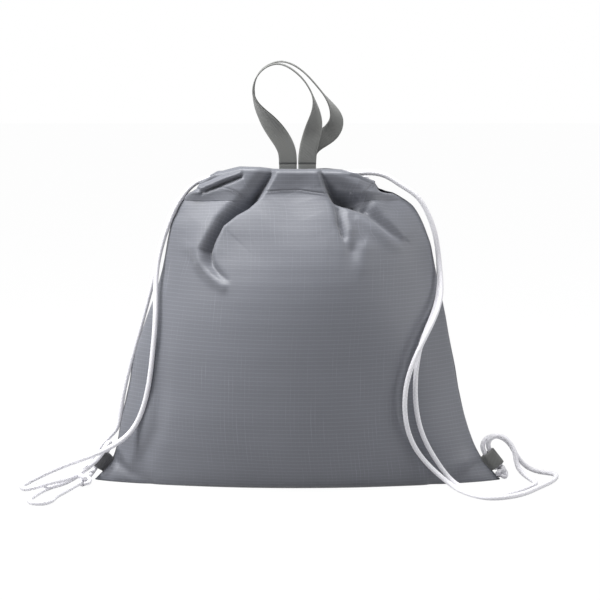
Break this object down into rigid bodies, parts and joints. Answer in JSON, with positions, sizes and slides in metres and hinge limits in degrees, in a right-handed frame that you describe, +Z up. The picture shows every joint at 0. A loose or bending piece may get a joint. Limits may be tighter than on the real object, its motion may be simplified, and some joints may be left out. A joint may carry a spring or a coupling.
{
  "type": "drawstring shoe bag",
  "caption": "Standing drawstring shoe bag of ripstop cloth with stitched top casings, webbing loop handles, corner tabs and knotted white drawcords.",
  "frame": {"origin": "on the surface that the bag stands on, under the middle of the bag", "axes": "+Z up, -Y towards the front of the bag, +X towards the right side seam seen from the front"},
  "size_m": [0.4498, 0.1762, 0.3513],
  "materials": {
    "cloth": "grey ripstop weave, slight satin sheen",
    "seam": "overlocked cloth edges",
    "webbing": "dark grey ribbed webbing",
    "cord": "white braided cord"
  },
  "bodies": {
    "bag": {"front_panel": "cloth", "back_panel": "cloth", "left_side_seam": "seam", "right_side_seam": "seam", "bottom_seam": "seam", "left_tab": "webbing", "right_tab": "webbing", "left_cord": "cord", "right_cord": "cord", "left_cord_knot": "cord", "right_cord_knot": "cord"},
    "front_lip": {"front_casing": "cloth", "front_handle_base": "webbing"},
    "back_lip": {"back_casing": "cloth", "back_handle_base": "webbing"},
    "front_loop": {"front_handle": "webbing"},
    "back_loop": {"back_handle": "webbing"}
  },
  "joints": [
    {"name": "front_lip_open", "type": "hinge", "parent": "bag", "child": "front_lip", "pos_m": [0, -0.017, 0.2415], "axis": [1, 0, 0], "range_deg": [0, 20], "deforming": ["left_cord", "right_cord"]},
    {"name": "back_lip_open", "type": "hinge", "parent": "bag", "child": "back_lip", "pos_m": [0, 0.017, 0.2415], "axis": [-1, 0, 0], "range_deg": [0, 20], "deforming": ["left_cord", "right_cord"]},
    {"name": "front_handle_swing", "type": "hinge", "parent": "front_lip", "child": "front_loop", "pos_m": [0, -0.00787, 0.2677], "axis": [1, 0, 0], "range_deg": [0, 105]},
    {"name": "back_handle_swing", "type": "hinge", "parent": "back_lip", "child": "back_loop", "pos_m": [0, 0.00787, 0.2677], "axis": [-1, 0, 0], "range_deg": [0, 105]}
  ],
  "couplings": [
    {"joint": "back_lip_open", "follows": "front_lip_open", "ratio": 1}
  ]
}
